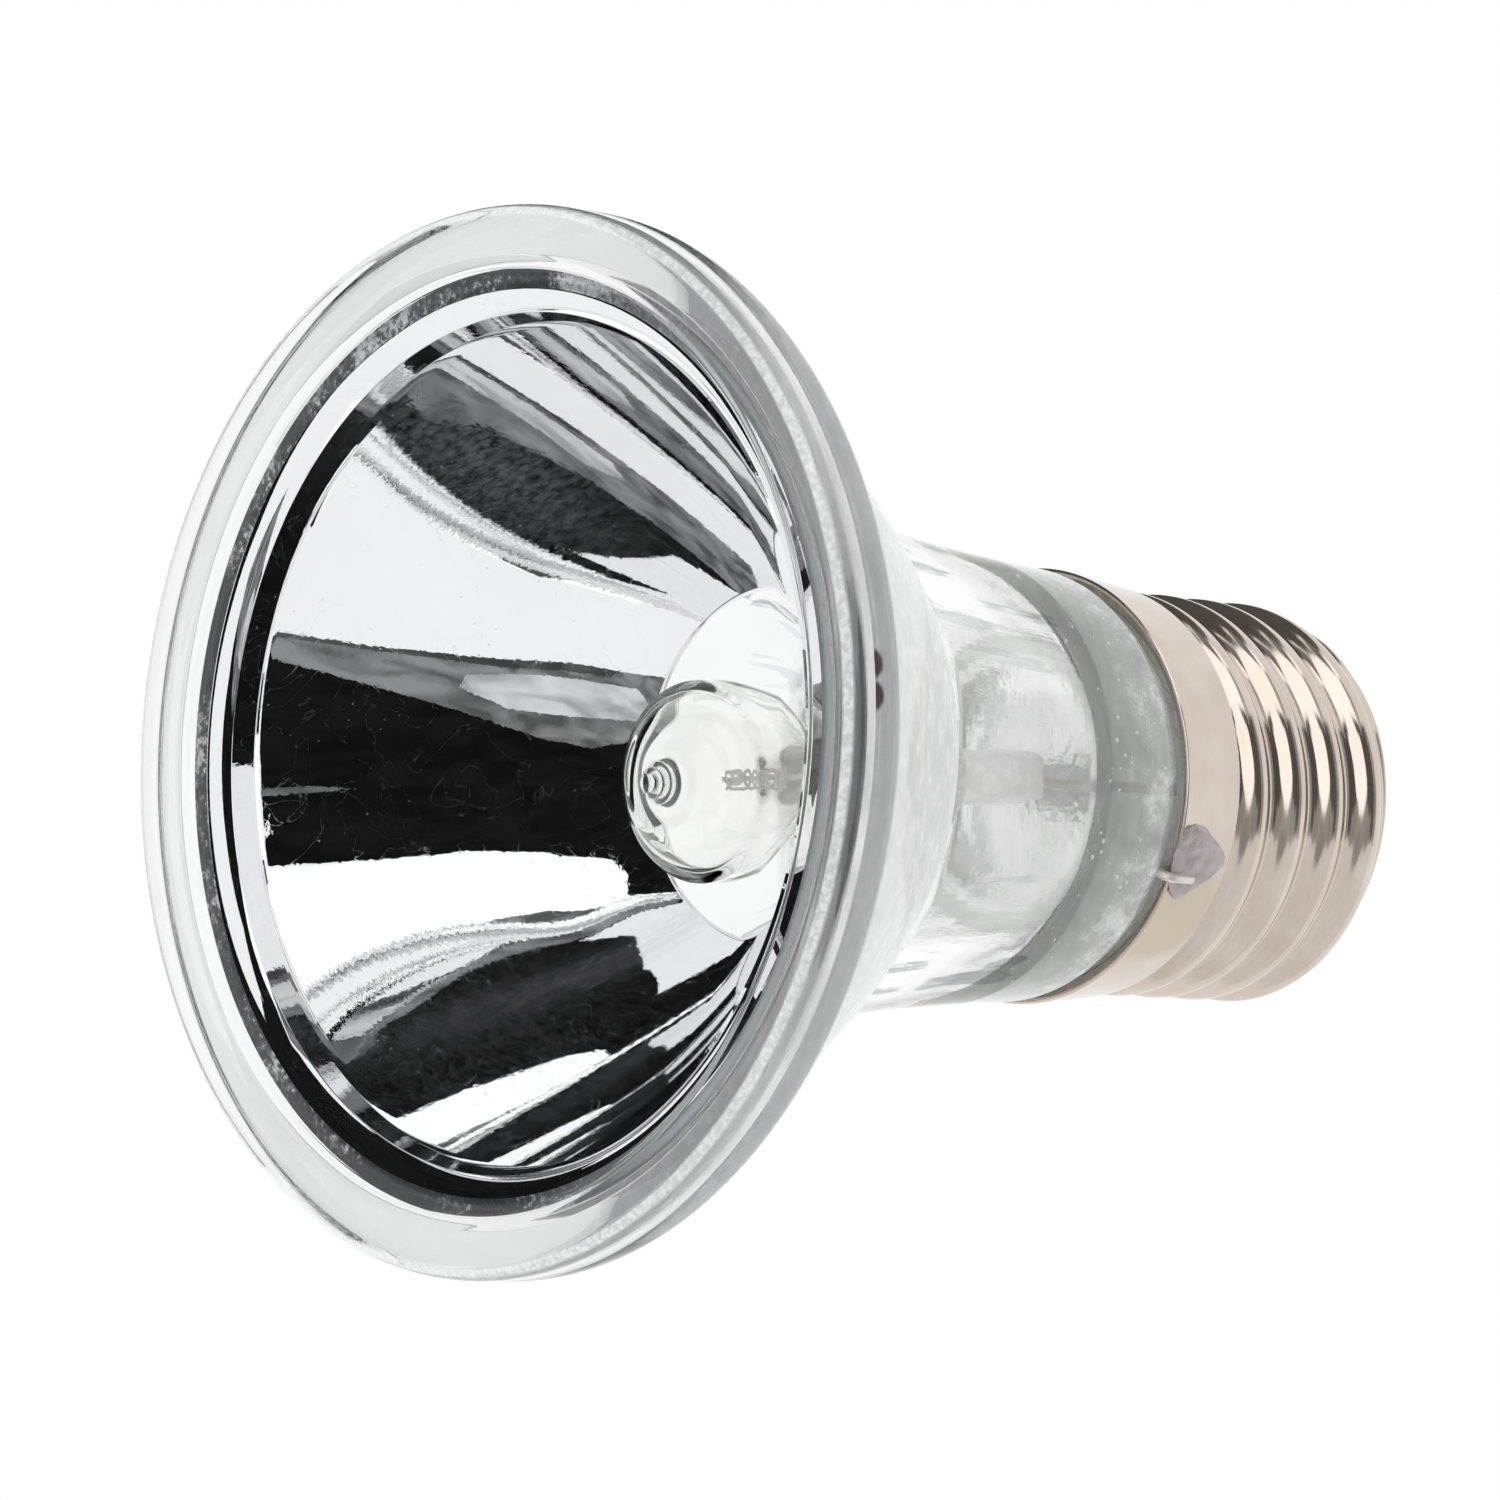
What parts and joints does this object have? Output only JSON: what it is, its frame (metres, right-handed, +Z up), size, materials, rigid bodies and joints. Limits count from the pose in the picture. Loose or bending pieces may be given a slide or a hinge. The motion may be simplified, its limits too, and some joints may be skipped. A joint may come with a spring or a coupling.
{
  "type": "reflector heat bulb",
  "caption": "Clear pressed-glass reflector heat bulb with a mirrored bowl, a leaning quartz capsule and a right-hand screw cap with a centre contact.",
  "frame": {"origin": "centre of the lens rim's front plane, which is the bottom of the bulb as it stands on its lens", "axes": "+Z up the lamp's axis from the lens to the screw cap; -Y is the side the solder patch on the skirt is nearest to"},
  "size_m": [0.064, 0.064, 0.075],
  "materials": {
    "lens_glass": "clear pressed glass",
    "seal_frit": "grey seal line",
    "body_glass": "clear pressed glass, slightly wavy",
    "mirror_aluminium": "vacuum-laid aluminium, bright in front and satin behind",
    "quartz": "clear drawn quartz",
    "tungsten": "dull wire",
    "molybdenum": "rolled foil",
    "lead_nickel": "drawn wire",
    "cap_nickel": "bright rolled nickel plate, a little warm",
    "cement": "chalky",
    "black_glass": "moulded black glass",
    "contact_brass": "stamped brass",
    "solder": "dull frozen solder"
  },
  "bodies": {
    "root": {"front_lens": "lens_glass", "rim_seal": "seal_frit", "reflector_body": "body_glass", "mirror_coating": "mirror_aluminium", "capsule_envelope": "quartz", "filament_coil": "tungsten", "filament_leg_side": "tungsten", "filament_leg_centre": "tungsten", "seal_foil_side": "molybdenum", "seal_foil_centre": "molybdenum", "side_lead_wire": "lead_nickel", "centre_lead_wire": "lead_nickel", "screw_shell": "cap_nickel", "cap_cement": "cement", "cap_insulator": "black_glass", "centre_contact": "contact_brass", "centre_solder": "solder", "side_solder": "solder"}
  },
  "joints": []
}
